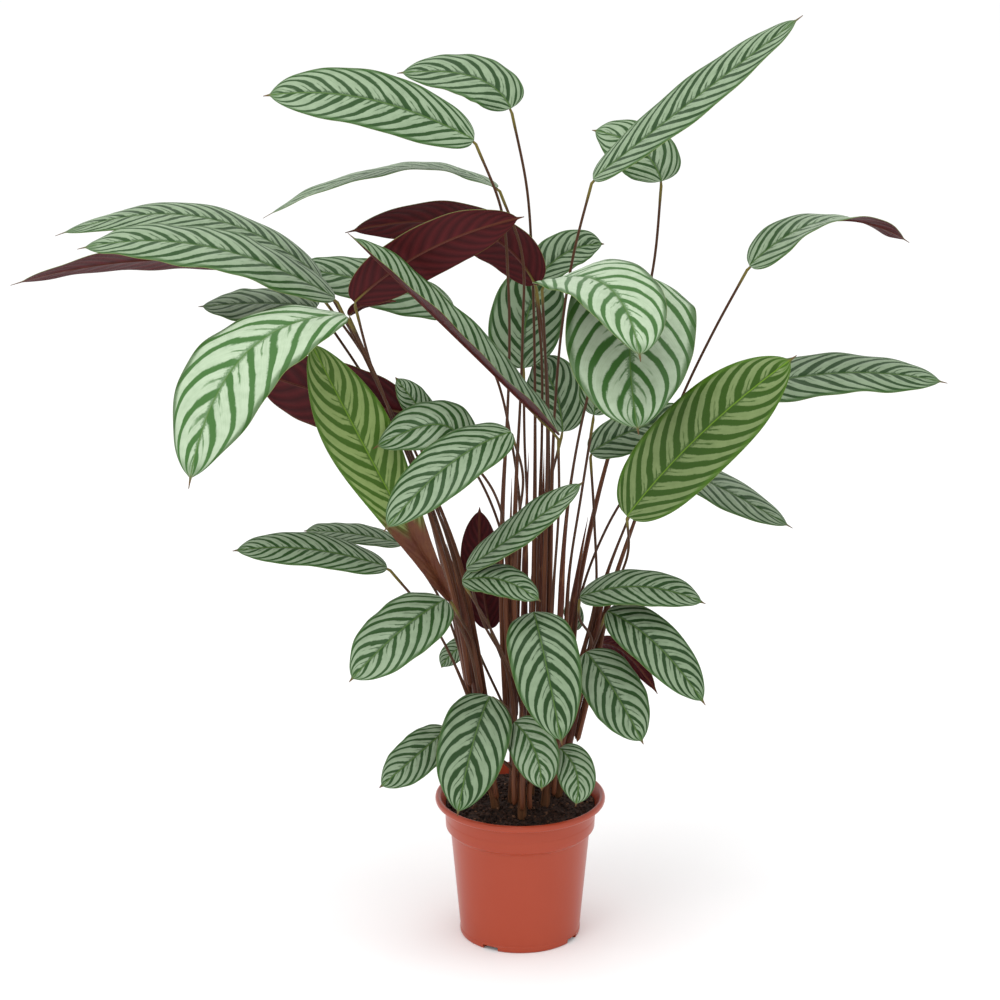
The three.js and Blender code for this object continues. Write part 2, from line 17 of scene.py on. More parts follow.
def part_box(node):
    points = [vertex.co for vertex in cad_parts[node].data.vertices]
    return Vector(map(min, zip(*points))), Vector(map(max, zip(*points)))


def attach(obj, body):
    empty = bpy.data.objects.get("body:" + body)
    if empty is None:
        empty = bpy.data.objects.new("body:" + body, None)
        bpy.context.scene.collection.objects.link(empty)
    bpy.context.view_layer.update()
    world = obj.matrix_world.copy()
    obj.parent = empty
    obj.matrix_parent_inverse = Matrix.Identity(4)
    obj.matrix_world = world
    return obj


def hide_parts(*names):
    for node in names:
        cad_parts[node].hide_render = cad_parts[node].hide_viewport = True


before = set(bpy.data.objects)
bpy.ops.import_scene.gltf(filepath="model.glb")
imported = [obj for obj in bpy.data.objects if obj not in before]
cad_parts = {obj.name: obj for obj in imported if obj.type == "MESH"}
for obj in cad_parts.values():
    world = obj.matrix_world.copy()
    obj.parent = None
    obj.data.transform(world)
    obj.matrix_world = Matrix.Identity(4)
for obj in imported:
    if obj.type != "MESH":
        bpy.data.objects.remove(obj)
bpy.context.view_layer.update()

leaf_names = sorted(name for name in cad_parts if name.endswith("_leaf"))
shoot_names = sorted(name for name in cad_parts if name.endswith("_shoot"))

# %% [markdown]
# ## The camera
# The plant is seen from a little above with a long lens, so that upright things stay upright. The
# camera comes first, because it settles how much of every surface will show.

# %% Camera
CAMERA_TARGET = Vector((-0.025, 0, 0.566))
CAMERA_DISTANCE = 5.0
CAMERA_ELEVATION = math.radians(19)
LENS_MM = 149.3
SENSOR_MM = 36
CLIP_END = 100

camera_data = bpy.data.cameras.new("camera")
camera_data.lens = LENS_MM
camera_data.sensor_width = SENSOR_MM
camera_data.clip_end = CLIP_END
camera = bpy.data.objects.new("camera", camera_data)
bpy.context.scene.collection.objects.link(camera)
back = Vector((0, -math.cos(CAMERA_ELEVATION), math.sin(CAMERA_ELEVATION)))
camera.location = CAMERA_TARGET + back * CAMERA_DISTANCE
camera.rotation_euler = (-back).to_track_quat("-Z", "Y").to_euler()
bpy.context.scene.camera = camera
print("camera at", tuple(round(c, 3) for c in camera.location))

# %% [markdown]
# ## The studio
# A plain pale floor under a wide, even light. Most of the light comes from an almost white world, as
# from studio walls; one large panel overhead and one at the left front model the leaves softly.

# %% Floor, world and lamps
FLOOR_SIZE = 60.0
FLOOR_WHITE = (0.985, 0.985, 0.985, 1)
FLOOR_ROUGHNESS = 0.9
WORLD_STRENGTH = 1.0
PLANT_MIDDLE = (0, 0, 0.6)


def lamp(name, place, aim, size, watts):
    data = bpy.data.lights.new(name, "AREA")
    data.shape = "SQUARE"
    data.size = size
    data.energy = watts
    holder = bpy.data.objects.new(name, data)
    bpy.context.scene.collection.objects.link(holder)
    holder.location = place
    holder.rotation_euler = (Vector(aim) - Vector(place)).to_track_quat("-Z", "Y").to_euler()


world = bpy.data.worlds.new("studio")
bpy.context.scene.world = world
world.use_nodes = True
backdrop = world.node_tree.nodes["Background"].inputs
backdrop["Color"].default_value = (1, 1, 1, 1)
backdrop["Strength"].default_value = WORLD_STRENGTH

floor_mesh = bmesh.new()
bmesh.ops.create_grid(floor_mesh, x_segments=1, y_segments=1, size=FLOOR_SIZE / 2)
floor_data = bpy.data.meshes.new("floor")
floor_mesh.to_mesh(floor_data)
floor_mesh.free()
floor = bpy.data.objects.new("floor", floor_data)
bpy.context.scene.collection.objects.link(floor)
floor_look = bpy.data.materials.new("pale_floor")
floor_look.use_nodes = True
floor_sockets = floor_look.node_tree.nodes["Principled BSDF"].inputs
floor_sockets["Base Color"].default_value = FLOOR_WHITE
floor_sockets["Roughness"].default_value = FLOOR_ROUGHNESS
floor_sockets["Specular IOR Level"].default_value = 0.0
floor_data.materials.append(floor_look)

lamp("overhead", (-0.5, -0.9, 3.4), PLANT_MIDDLE, size=2.4, watts=44)
lamp("left_front", (-2.4, -3.2, 2.6), PLANT_MIDDLE, size=1.8, watts=22)
bpy.context.scene.view_settings.view_transform = "Standard"

# %% [markdown]
# ## Two small tools
# `Value` wraps a socket so that shader maths reads as arithmetic: `1 - mask` adds its own Math node.
# `Finish` starts a material, sets what is constant straight on the shader, and adds any other node.

# %% Shader maths as expressions
class Value:
    """A socket of a material whose arithmetic adds Math nodes."""

    def __init__(self, tree, socket):
        self.tree = tree
        self.socket = socket

    def math(self, operation, *others):
        node = self.tree.nodes.new("ShaderNodeMath")
        node.operation = operation
        for slot, item in zip(node.inputs, (self, *others)):
            plug(self.tree, slot, item)
        return Value(self.tree, node.outputs[0])

    def __add__(self, other):
        return self.math("ADD", other)

    __radd__ = __add__

    def __mul__(self, other):
        return self.math("MULTIPLY", other)

    def __sub__(self, other):
        return self.math("SUBTRACT", other)

    def __rsub__(self, other):
        return (self * -1) + other

    def __abs__(self):
        return self.math("ABSOLUTE")

    def over(self, low, high):
        """0 below low, 1 above high, and a smooth step between them."""
        node = self.tree.nodes.new("ShaderNodeMapRange")
        node.interpolation_type = "SMOOTHSTEP"
        for slot, item in zip(node.inputs, (self, low, high, 0.0, 1.0)):
            plug(self.tree, slot, item)
        return Value(self.tree, node.outputs[0])


def plug(tree, slot, item):
    """Links a Value to a socket, or sets the socket's own number or colour."""
    if isinstance(item, Value):
        tree.links.new(item.socket, slot)
    elif hasattr(slot.default_value, "__len__") and not hasattr(item, "__len__"):
        slot.default_value = (item,) * len(slot.default_value)
    elif hasattr(item, "__len__") and len(item) == 3 and len(slot.default_value) == 4:
        slot.default_value = (*item, 1)
    else:
        slot.default_value = item


class Finish:
    """A material on one Principled shader."""

    def __init__(self, name, **constants):
        self.material = bpy.data.materials.new(name)
        self.material.use_nodes = True
        self.tree = self.material.node_tree
        self.shader = self.tree.nodes["Principled BSDF"]
        for socket, item in constants.items():
            plug(self.tree, self.shader.inputs[socket.replace("_", " ")], item)

    def node(self, kind, sockets=None, output=0, **settings):
        made = self.tree.nodes.new("ShaderNode" + kind)
        for setting, item in settings.items():
            setattr(made, setting, item)
        for socket, item in (sockets or {}).items():
            plug(self.tree, made.inputs[socket], item)
        return Value(self.tree, made.outputs[output])

    def attribute(self, name):
        return self.node("Attribute", output="Fac", attribute_name=name)

    def place(self):
        return self.node("TexCoord", output="Object")

    def mixed(self, share, first, second):
        """A colour that goes from first to second as share goes from 0 to 1."""
        sockets = {0: share, 6: first, 7: second}
        return self.node("Mix", sockets, output=2, data_type="RGBA")

    def noise(self, vector, scale, detail=2.0, roughness=0.5):
        sockets = {"Vector": vector, "Scale": scale, "Detail": detail, "Roughness": roughness}
        return self.node("TexNoise", sockets, output="Fac")

    def vector(self, x, y, z):
        return self.node("CombineXYZ", {"X": x, "Y": y, "Z": z})

    def bump(self, height, strength, distance):
        sockets = {"Strength": strength, "Distance": distance, "Height": height}
        self.set("Normal", self.node("Bump", sockets))

    def set(self, socket, item):
        plug(self.tree, self.shader.inputs[socket], item)


print("shader tools ready")

# %% [markdown]
# ## Measuring a leaf
# Every leaf of the frame is one closed skin of rings: eight points round the stalk from its foot up,
# then eight round each cross row of the blade, and a single point at each end. Walking outward from
# the tip gives the rings in order. In a blade's ring the two margins are found by the spacing of the
# points: the upper side has four even steps, the underside a short, two long and a short one.
# Only the two ends of a leaf are points where eight edges meet. A shoot has six points a ring, as
# many as any other point has edges, so its ends are told by the five edges of all their neighbours.

# %% Rings of a leaf node
RING_POINTS = 8
BLADE_ROWS = np.array([0.93, 0.78, 0.58, 0.38, 0.19, 0.05])
RING_STEPS = np.array([0.5, 0.5, 0.5, 0.5, 0.4, 0.6, 0.6, 0.4]) / 4
LEFT_MARGIN, LEFT_BETWEEN, MIDDLE, RIGHT_BETWEEN, RIGHT_MARGIN, UNDERSIDE = 0, 1, 2, 3, 4, 6
FLIPPED_START = 5
RING_MERGE = 1e-5
SHOOT_END_EDGES = 5


def rings_of(node_name, points):
    """The rings of a drawn-out skin, from the end whose first ring is the wider one."""
    skin = bmesh.new()
    skin.from_mesh(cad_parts[node_name].data)
    bmesh.ops.remove_doubles(skin, verts=skin.verts, dist=RING_MERGE)
    ends = [v for v in skin.verts if len(v.link_edges) == points and is_end(v, points)]
    ends.sort(key=lambda v: -sum((e.other_vert(v).co - v.co).length for e in v.link_edges))
    rings = [[ends[0]]]
    seen = {ends[0]}
    while True:
        ahead = {e.other_vert(v) for v in rings[-1] for e in v.link_edges} - seen
        if not ahead:
            break
        seen |= ahead
        rings.append(walk_round(ahead))
    result = [np.array([tuple(v.co) for v in ring]) for ring in rings]
    skin.free()
    return result


def is_end(vertex, points):
    near = [e.other_vert(vertex) for e in vertex.link_edges]
    return points == RING_POINTS or all(len(v.link_edges) == SHOOT_END_EDGES for v in near)


def walk_round(vertices):
    """Puts the vertices of one ring in order round it."""
    order = [min(vertices, key=lambda v: v.index)]
    left = set(vertices) - set(order)
    while left:
        near = [e.other_vert(order[-1]) for e in order[-1].link_edges]
        near = [v for v in near if v in left]
        if not near:
            break
        order.append(near[0])
        left.discard(near[0])
    return order


def margin_start(ring):
    """Where in the ring the upper side starts, by the spacing of its points."""
    steps = np.linalg.norm(np.roll(ring, -1, axis=0) - ring, axis=1)
    steps = steps / steps.sum()
    misfits = [np.abs(np.roll(steps, -i) - RING_STEPS).sum() for i in range(RING_POINTS)]
    return int(np.argmin(misfits))


def measure_leaf(node_name):
    """The midrib, the shape of its cross rows, and the stalk, in the row frame."""
    rings = rings_of(node_name, RING_POINTS)
    tip = rings[0][0]
    blade_rings = rings[1 : 1 + len(BLADE_ROWS)]
    stalk_rings = rings[1 + len(BLADE_ROWS) : -1]
    base = stalk_rings[0].mean(axis=0)
    rows = np.array([np.roll(ring, -margin_start(ring), axis=0) for ring in blade_rings])
    shares = np.array([1.0, *BLADE_ROWS, 0.0])
    middles = np.array([tip, *rows[:, MIDDLE], base])
    midrib = np.polyfit(shares, middles, 2)
    ahead = np.array([np.polyval(np.polyder(midrib[:, k]), BLADE_ROWS) for k in range(3)]).T
    leaf = {"midrib": midrib}
    leaf["stalk"] = np.array([ring.mean(axis=0) for ring in stalk_rings])[::-1]
    # The upper side is turned so that its first margin is on the same hand in every row.
    for i, row in enumerate(rows):
        above = row[MIDDLE] - row[UNDERSIDE]
        hand = np.dot(np.cross(ahead[i], above), row[LEFT_MARGIN] - row[RIGHT_MARGIN])
        if hand > 0:
            rows[i] = np.roll(row[::-1], FLIPPED_START, axis=0)
    leaf["half"] = np.linalg.norm(rows[:, LEFT_MARGIN] - rows[:, MIDDLE], axis=1)
    sides = (("left", LEFT_MARGIN, LEFT_BETWEEN), ("right", RIGHT_MARGIN, RIGHT_BETWEEN))
    for key, margin, between in sides:
        leaf[key + "_margin"] = unit_rows(rows[:, margin] - rows[:, MIDDLE])
        leaf[key + "_between"] = unit_rows(rows[:, between] - rows[:, MIDDLE])
    return leaf


def unit_rows(array):
    return array / np.linalg.norm(array, axis=1, keepdims=True)


leaves = {name: measure_leaf(name) for name in leaf_names}
for name in leaf_names[:3]:
    print(name, "rows", len(leaves[name]["half"]), "half width", leaves[name]["half"].max().round(4))

# %% [markdown]
# ## The shape of a blade
# A ctenanthe blade is oblong: it rounds off quickly from its stalk, is widest before the middle and
# ends in a short drip tip. Its margins wave a little and the side veins lift the surface between
# them. The blade is a grid whose points are carried onto that surface, so the relief is real mesh.

# %% Blade surface
BLADE_LENGTH_STEPS = 88
BLADE_CROSS_STEPS = 30
CROSS_CROWDING = 1.15
OUTLINE_POWER = 2.4
BASE_ROOT = 0.5
TIP_ROOT_ADDED = 0.16
TIP_ROOT_START = 0.55
ROLLED_WIDTH = 0.36
UNROLLS_FROM, UNROLLS_TO = 0.15, 0.8
DRIP_SHARE = 1.035
DRIP_HALF_WIDTH = 0.0005
DRIP_FOOT_HALF_WIDTH = 0.0042
DRIP_LENGTH = 0.075
DRIP_TAPER = 1.4
DRIP_MOST_OF_WIDEST = 0.2
WAVES_LOW, WAVES_HIGH = 1.4, 2.4
WAVE_HEIGHT = 0.045
WAVE_REACH_POWER = 2.2
VEIN_REACH = 1.05
VEIN_CURL = 0.62
VEIN_CURL_POWER = 4
BAND_SPACING = 0.275
FEWEST_BANDS = 6
BAND_COUNTS = {"left_broad_leaf": 6.5, "bright_leaf": 7.5, "broad_hanging_leaf": 6}
RELIEF = 0.0005
GROOVE_DEPTH = 0.0009
GROOVE_HALF_WIDTH = 0.0022
BLADE_THICKNESS = 0.0005
SLENDER_LEAVES = {"young_green_leaf"}
BELLIES = np.arange(0.66, 1.06, 0.02)


def smooth(low, high, x):
    s = np.clip((np.asarray(x, float) - low) / (high - low), 0, 1)
    return s * s * (3 - 2 * s)


def outline(share, slender, belly):
    """Half width at a share of the length, as a part of the widest half width."""
    held = np.clip(np.asarray(share, float), 0, 1)
    bulk = 1 - np.abs(2 * held**belly - 1) ** OUTLINE_POWER
    root = BASE_ROOT + TIP_ROOT_ADDED * smooth(TIP_ROOT_START, 1, held)
    full = np.clip(bulk, 0, 1) ** root
    if slender:
        opened = smooth(UNROLLS_FROM, UNROLLS_TO, held)
        full = full * (ROLLED_WIDTH + (1 - ROLLED_WIDTH) * opened)
    return full


def fitted_outline(half, slender):
    """The belly and the widest half width that meet the measured rows best."""
    best = None
    for belly in BELLIES:
        shape = outline(BLADE_ROWS, slender, belly)
        widest = float(half @ shape / (shape @ shape))
        miss = float(np.abs(half - widest * shape).sum())
        if best is None or miss < best[0]:
            best = (miss, belly, widest)
    return best[1], best[2]


def blade_grid(name, leaf, rng):
    """The spots of a blade's grid, the fields its finish reads there, and its widest half."""
    slender = name in SLENDER_LEAVES
    belly, widest = fitted_outline(leaf["half"], slender)
    v = np.linspace(0, 1, BLADE_LENGTH_STEPS + 1)
    along = DRIP_SHARE * (0.5 * v + 0.5 * (1 - np.cos(np.pi * v)) / 2)
    u = np.linspace(1, -1, BLADE_CROSS_STEPS + 1)
    across = np.sign(u) * np.abs(u) ** CROSS_CROWDING
    along_all, across_all = np.meshgrid(along, across, indexing="ij")

    half = widest * outline(along, slender, belly)
    from_drip = np.clip((DRIP_SHARE - along) / DRIP_LENGTH, 0, 1)
    drip = DRIP_HALF_WIDTH + DRIP_FOOT_HALF_WIDTH * from_drip**DRIP_TAPER
    drip = np.minimum(drip, DRIP_MOST_OF_WIDEST * widest)
    half = np.where(along > 0.5, np.maximum(half, drip), half)
    half = np.maximum(half, DRIP_HALF_WIDTH)
    middle = np.array([np.polyval(leaf["midrib"][:, k], along) for k in range(3)]).T
    ahead = np.array([np.polyval(np.polyder(leaf["midrib"][:, k]), along) for k in range(3)]).T
    ahead = unit_rows(ahead)

    order = np.argsort(BLADE_ROWS)
    fine = {}
    for key in ("left_margin", "left_between", "right_margin", "right_between"):
        values = leaf[key][order]
        curve = np.polyfit(BLADE_ROWS[order], values, 3)
        held = np.clip(along, BLADE_ROWS.min(), BLADE_ROWS.max())
        fine[key] = unit_rows(np.array([np.polyval(curve[:, k], held) for k in range(3)]).T)

    across_dir = unit_rows(fine["left_margin"] - fine["right_margin"])
    up = unit_rows(np.cross(ahead, across_dir))

    leaf["along"], leaf["up"] = along, up
    spots = np.zeros((*along_all.shape, 3))
    for j, share in enumerate(across):
        side = "left" if share > 0 else "right"
        reach = abs(share)
        bend = 2 * fine[side + "_margin"] - 2 * fine[side + "_between"]
        first = 2 * fine[side + "_between"] - fine[side + "_margin"]
        spots[:, j] = middle + half[:, None] * (first * reach + bend * reach**2)

    # Waves of the margin, and the lift of the surface between the side veins.
    phase = rng.uniform(0, 2 * math.pi, 4)
    waves = rng.uniform(WAVES_LOW, WAVES_HIGH)
    height = rng.uniform(0.5, 1.0) * WAVE_HEIGHT * widest
    ends = smooth(0.0, 0.18, along_all) * (1 - smooth(0.86, 1.0, along_all))
    left = np.sin(2 * np.pi * waves * along_all + phase[0]) + 0.5 * np.sin(
        4.7 * np.pi * waves * along_all + phase[1]
    )
    right = np.sin(2 * np.pi * waves * 1.1 * along_all + phase[2]) + 0.5 * np.sin(
        5.3 * np.pi * waves * along_all + phase[3]
    )
    out = np.abs(across_all)
    lift = np.where(across_all > 0, left, right) * out**WAVE_REACH_POWER * height * ends
    length = float(np.linalg.norm(np.diff(middle, axis=0), axis=1).sum())
    reach = VEIN_REACH * widest / length
    curl = VEIN_CURL * widest / length
    vein = along_all - reach * out - curl * out**VEIN_CURL_POWER
    usual = max(FEWEST_BANDS, length / (BAND_SPACING * 2 * widest))
    bands = BAND_COUNTS.get(name, usual)
    flow = bands * vein
    ripple = np.cos(2 * np.pi * (flow + 0.5 * (across_all > 0)))
    body = smooth(0.05, 0.25, out) * (1 - smooth(0.85, 1.0, out))
    lift = lift + RELIEF * ripple * body * ends
    metres_out = out * half[:, None]
    lift = lift - GROOVE_DEPTH * np.exp(-((metres_out / GROOVE_HALF_WIDTH) ** 2)) * ends
    spots += up[:, None, :] * lift[..., None]
    fields = {"across": across_all, "along": along_all, "flow": flow, "out_mm": 1000 * metres_out}
    rolled = 1 - smooth(0.30, 0.40, along_all + 0.03 * np.sin(6 * across_all))
    fields["rolled"] = rolled if slender else 0 * along_all
    return spots, fields, widest


# %% A grid carried onto a surface
SEAM_MERGE = 1e-7


def carried_grid(name, spots, attributes, closed=False):
    """A mesh object whose bmesh grid is carried to the given rows and columns of spots."""
    rows, columns = spots.shape[:2]
    skin = bmesh.new()
    bmesh.ops.create_grid(skin, x_segments=columns - 1, y_segments=rows - 1, size=0.5)
    keys = []
    for v in skin.verts:
        column = round((v.co.x + 0.5) * (columns - 1))
        row = round((v.co.y + 0.5) * (rows - 1))
        keys.append((row, column))
        v.co = spots[row, column]
    layers = {key: skin.verts.layers.float.new(key) for key in attributes}
    for v, (row, column) in zip(skin.verts, keys):
        for key, layer in layers.items():
            v[layer] = float(attributes[key][row, column])
    if closed:
        bmesh.ops.remove_doubles(skin, verts=skin.verts, dist=SEAM_MERGE)
        bmesh.ops.recalc_face_normals(skin, faces=skin.faces)
    for face in skin.faces:
        face.smooth = True
    data = bpy.data.meshes.new(name)
    skin.to_mesh(data)
    skin.free()
    made = bpy.data.objects.new(name, data)
    bpy.context.scene.collection.objects.link(made)
    return made


print("blade surface ready:", BLADE_LENGTH_STEPS, "by", BLADE_CROSS_STEPS, "steps")

# %% [markdown]
# ## Stalks
# A leaf's stalk starts as a sheath wrapped round the shoot, thins to a wire, and swells again just
# below the blade into the pulvinus, the joint that turns the leaf to the light. It then runs on
# under the blade as the midrib's keel. All of it is one tube along a smooth path.

# %% Smooth paths and tubes
STALK_SIDES = 12
PATH_STEP = 0.006
STALK_RADIUS = 0.00165
SHEATH_RADIUS = 0.0031
PULVINUS_RADIUS = 0.00185
PULVINUS_LENGTH = 0.026
KEEL_START_RADIUS = 0.0013
KEEL_END_RADIUS = 0.0003
KEEL_START = 0.012
KEEL_END = 0.88
KEEL_ROWS = 30
KEEL_FULL_HALF_WIDTH = 0.03
KEEL_SUNK_SHARE = 0.3
SWELLING_START = 1.15
SWELLING_SLOPE = 0.3


def smooth_path(points):
    """Catmull-Rom through the points, in about equal steps."""
    points = np.asarray(points)
    first = 2 * points[0] - points[1]
    last = 2 * points[-1] - points[-2]
    padded = np.array([first, *points, last])
    made = []
    for i in range(1, len(padded) - 2):
        p0, p1, p2, p3 = padded[i - 1 : i + 3]
        count = max(2, round(float(np.linalg.norm(p2 - p1)) / PATH_STEP))
        t = np.linspace(0, 1, count, endpoint=False)[:, None]
        made.append(
            0.5
            * (
                2 * p1
                + (p2 - p0) * t
                + (2 * p0 - 5 * p1 + 4 * p2 - p3) * t**2
                + (3 * p1 - p0 - 3 * p2 + p3) * t**3
            )
        )
    return np.vstack([*made, points[-1:]])


def tube_spots(path, radii, sides):
    """Rows of points round a path, with no twist, closed to a point at both ends."""
    ahead = unit_rows(np.gradient(path, axis=0))
    side = np.cross(ahead[0], (0, 0, 1) if abs(ahead[0][2]) < 0.9 else (1, 0, 0))
    turn = np.linspace(0, 2 * np.pi, sides + 1)
    spots = np.zeros((len(path), sides + 1, 3))
    for i, spot in enumerate(path):
        side = side - ahead[i] * np.dot(side, ahead[i])
        side = side / np.linalg.norm(side)
        other = np.cross(ahead[i], side)
        ring = np.cos(turn)[:, None] * side + np.sin(turn)[:, None] * other
        spots[i] = spot + radii[i] * ring
    return spots, np.tile(turn / (2 * np.pi), (len(path), 1))


def stalk_of(name, leaf):
    path = smooth_path(leaf["stalk"])
    distance = np.concatenate([[0], np.cumsum(np.linalg.norm(np.diff(path, axis=0), axis=1))])
    total = distance[-1]
    to_blade = total - distance
    share = distance / total
    radii = SHEATH_RADIUS + (STALK_RADIUS - SHEATH_RADIUS) * smooth(0.25, 0.6, share)
    into_joint = PULVINUS_LENGTH * SWELLING_START - to_blade
    swollen = np.clip(into_joint / (PULVINUS_LENGTH * SWELLING_SLOPE), 0, 1)
    radii = radii + (PULVINUS_RADIUS - STALK_RADIUS) * swollen
    keel_share = np.linspace(KEEL_START, KEEL_END, KEEL_ROWS)
    keel = np.array([np.polyval(leaf["midrib"][:, k], keel_share) for k in range(3)]).T
    keel_radii = np.linspace(KEEL_START_RADIUS, KEEL_END_RADIUS, len(keel_share))
    keel_radii = keel_radii * min(1.0, leaf["half"].max() / KEEL_FULL_HALF_WIDTH)
    up = np.array([np.interp(keel_share, leaf["along"], leaf["up"][:, k]) for k in range(3)]).T
    sunk = GROOVE_DEPTH + BLADE_THICKNESS * KEEL_SUNK_SHARE
    keel = keel - up * (keel_radii[:, None] + sunk)
    path = np.vstack([path[:-1], keel])
    radii = np.concatenate([radii[:-1], keel_radii])
    radii[0] = radii[-1] = 0.0
    to_blade = np.concatenate([to_blade[:-1], -keel_share])
    spots, turn = tube_spots(path, radii, STALK_SIDES)
    sheath = np.concatenate([1 - smooth(0.2, 0.6, share[:-1]), 0 * keel_share])
    every_side = (1, STALK_SIDES + 1)
    fields = {
        "to_blade": np.tile(to_blade[:, None], every_side),
        "turn": turn,
        "sheath": np.tile(sheath[:, None], every_side),
    }
    return carried_grid(name.replace("_leaf", "_stalk"), spots, fields, closed=True)


# %% [markdown]
# ## Leaf finishes
# The upper side is silver with dark green bands that leave the midrib in turn, bend towards the tip
# and run together in a green margin. The bands follow the blade's own `flow` attribute, so they stay
# on the leaf however it is bent. Underneath, a ctenanthe leaf is burgundy.

# %% Colours
def srgb(red, green, blue):
    """A colour as the eye names it, 0 to 255, as the linear numbers that a shader wants."""
    return tuple(
        (c / 255 / 12.92) if c <= 10 else ((c / 255 + 0.055) / 1.055) ** 2.4 for c in (red, green, blue)
    )


def upper_finish(name, dark_share, pale_dim, pale_bright, dark_dim, dark_bright, rib, green):
    finish = Finish(name, Roughness=0.42, IOR=1.38, Specular_IOR_Level=0.35)
    across = finish.attribute("across")
    along = finish.attribute("along")
    flow = finish.attribute("flow")
    out_mm = finish.attribute("out_mm")
    tone = finish.attribute("tone")
    place = finish.place()
    u = abs(across)
    side = across.math("GREATER_THAN", 0.0)
    own = finish.vector(across, flow * 0.6, tone * 9)
    wobble = (finish.noise(own, 3.0, 2) - 0.5) * 0.4
    rag = (finish.noise(place, 420, 2, 0.6) - 0.5) * 0.16
    phase = (flow + side * 0.5 + wobble).math("FRACT")
    off = abs(phase - 0.5)
    swell = finish.noise(finish.vector(across * 0.4, flow * 1.0, tone * 3), 2.2, 1)
    grow = dark_share + u.over(0.55, 0.95) * 0.03 + (swell - 0.5) * 0.14 - tone * 0.04
    band = 1 - (off + rag * 0.45).over(grow - 0.045, grow + 0.045)
    streak_noise = finish.noise(finish.vector(across, flow * 1.0, tone * 5), 5.0, 1)
    streak = 1 - (abs(0.5 - off) + rag * 0.4).over(0.02, 0.075)
    streak = streak * (1 - (u + (streak_noise - 0.5) * 0.9).over(0.14, 0.4))
    near_rib = 1 - (u + rag).over(0.03, 0.10)
    margin = (u + rag * 0.25).over(0.85, 0.94)
    end = along.over(0.93, 0.985)
    dark = band.math("MAXIMUM", streak * 0.85).math("MAXIMUM", near_rib * 0.8)
    mottle = finish.noise(place, 90, 3)
    pale = finish.mixed(tone, pale_dim, pale_bright)
    deep = finish.mixed(tone, dark_dim, dark_bright)
    lines = finish.noise(finish.vector(u * 0.8, flow * 9, side), 3.0, 2)
    pale = finish.mixed((lines - 0.35) * 0.5 + (mottle - 0.5) * 0.5, pale, deep)
    colour = finish.mixed(dark, pale, deep)
    colour = finish.mixed(margin.math("MAXIMUM", end * 0.7) * 0.8, colour, green)
    rib_line = 1 - out_mm.over(0.35, 0.9)
    colour = finish.mixed(rib_line * 0.75, colour, rib)
    edge = u.over(0.985, 0.999) * 0.5
    colour = finish.mixed(edge, colour, srgb(150, 160, 90))
    colour = finish.mixed(along.over(0.985, 1.02), colour, srgb(96, 70, 40))
    outside = finish.mixed(mottle + (lines - 0.5) * 0.8, srgb(74, 26, 28), srgb(112, 70, 40))
    colour = finish.mixed(finish.attribute("rolled"), colour, outside)
    finish.set("Base Color", colour)
    height = finish.noise(finish.vector(u * 0.6, flow * 12, side), 3.0, 2) + dark * -0.25
    finish.bump(height, 0.35, 0.0004)
    return finish.material


def under_finish(name, base, dim, rib):
    finish = Finish(name, Roughness=0.5, IOR=1.4, Specular_IOR_Level=0.2)
    across = finish.attribute("across")
    flow = finish.attribute("flow")
    out_mm = finish.attribute("out_mm")
    tone = finish.attribute("tone")
    side = across.math("GREATER_THAN", 0.0)
    off = abs((flow + side * 0.5).math("FRACT") - 0.5)
    lines = finish.noise(finish.vector(abs(across) * 0.6, flow * 10, side), 3.0, 2)
    colour = finish.mixed((off * 1.2) + (lines - 0.5) * 0.6, dim, base)
    colour = finish.mixed(1 - out_mm.over(0.9, 1.8), colour, rib)
    colour = finish.mixed(abs(across).over(0.96, 0.995) * 0.6, colour, srgb(110, 90, 50))
    finish.set("Base Color", colour)
    finish.bump(lines + off * 0.8, 0.4, 0.0004)
    return finish.material


upper_banded = upper_finish(
    "banded_upper", 0.2, srgb(116, 138, 106), srgb(172, 190, 162), srgb(14, 40, 9), srgb(60, 102, 46),
    srgb(78, 112, 42), srgb(50, 88, 32),
)
upper_olive = upper_finish(
    "olive_upper", 0.25, srgb(112, 130, 84), srgb(132, 154, 88), srgb(40, 72, 2), srgb(60, 94, 14),
    srgb(104, 142, 24), srgb(66, 104, 14),
)
under_burgundy = under_finish("burgundy_under", srgb(92, 26, 30), srgb(56, 12, 16), srgb(88, 44, 30))


def stalk_finish():
    finish = Finish("stalk", Roughness=0.45, IOR=1.4, Specular_IOR_Level=0.3)
    to_blade = finish.attribute("to_blade")
    turn = finish.attribute("turn")
    sheath = finish.attribute("sheath")
    place = finish.place()
    streaks = finish.noise(finish.vector(turn * 9, to_blade * 3, 0.0), 4.0, 3)
    wire = finish.mixed(streaks, srgb(46, 24, 14), srgb(92, 58, 34))
    wrap = finish.mixed(streaks.over(0.3, 0.75), srgb(62, 24, 18), srgb(132, 82, 50))
    joint = finish.mixed(finish.noise(place, 60, 2), srgb(92, 82, 30), srgb(118, 106, 50))
    colour = finish.mixed(sheath, wire, wrap)
    colour = finish.mixed(1 - to_blade.over(0.014, 0.034), colour, joint)
    colour = finish.mixed(1 - to_blade.over(-0.16, -0.02), colour, srgb(88, 44, 36))
    finish.set("Base Color", colour)
    finish.bump(streaks, 0.3, 0.0004)
    return finish.material


stalk_brown = stalk_finish()
print("leaf finishes ready")

# %% [markdown]
# ## Growing every leaf
# The tone of a leaf is how much light its silver takes: the young outer leaves are nearly white
# between the bands, the inner ones grey-green.

# %% Leaves
BRIGHT = {"left_broad_leaf": 1.0, "bright_leaf": 0.95, "broad_hanging_leaf": 0.85}
OLIVE = {"young_green_leaf": 0.8, "olive_leaf": 0.2}
USUAL_TONE = 0.34


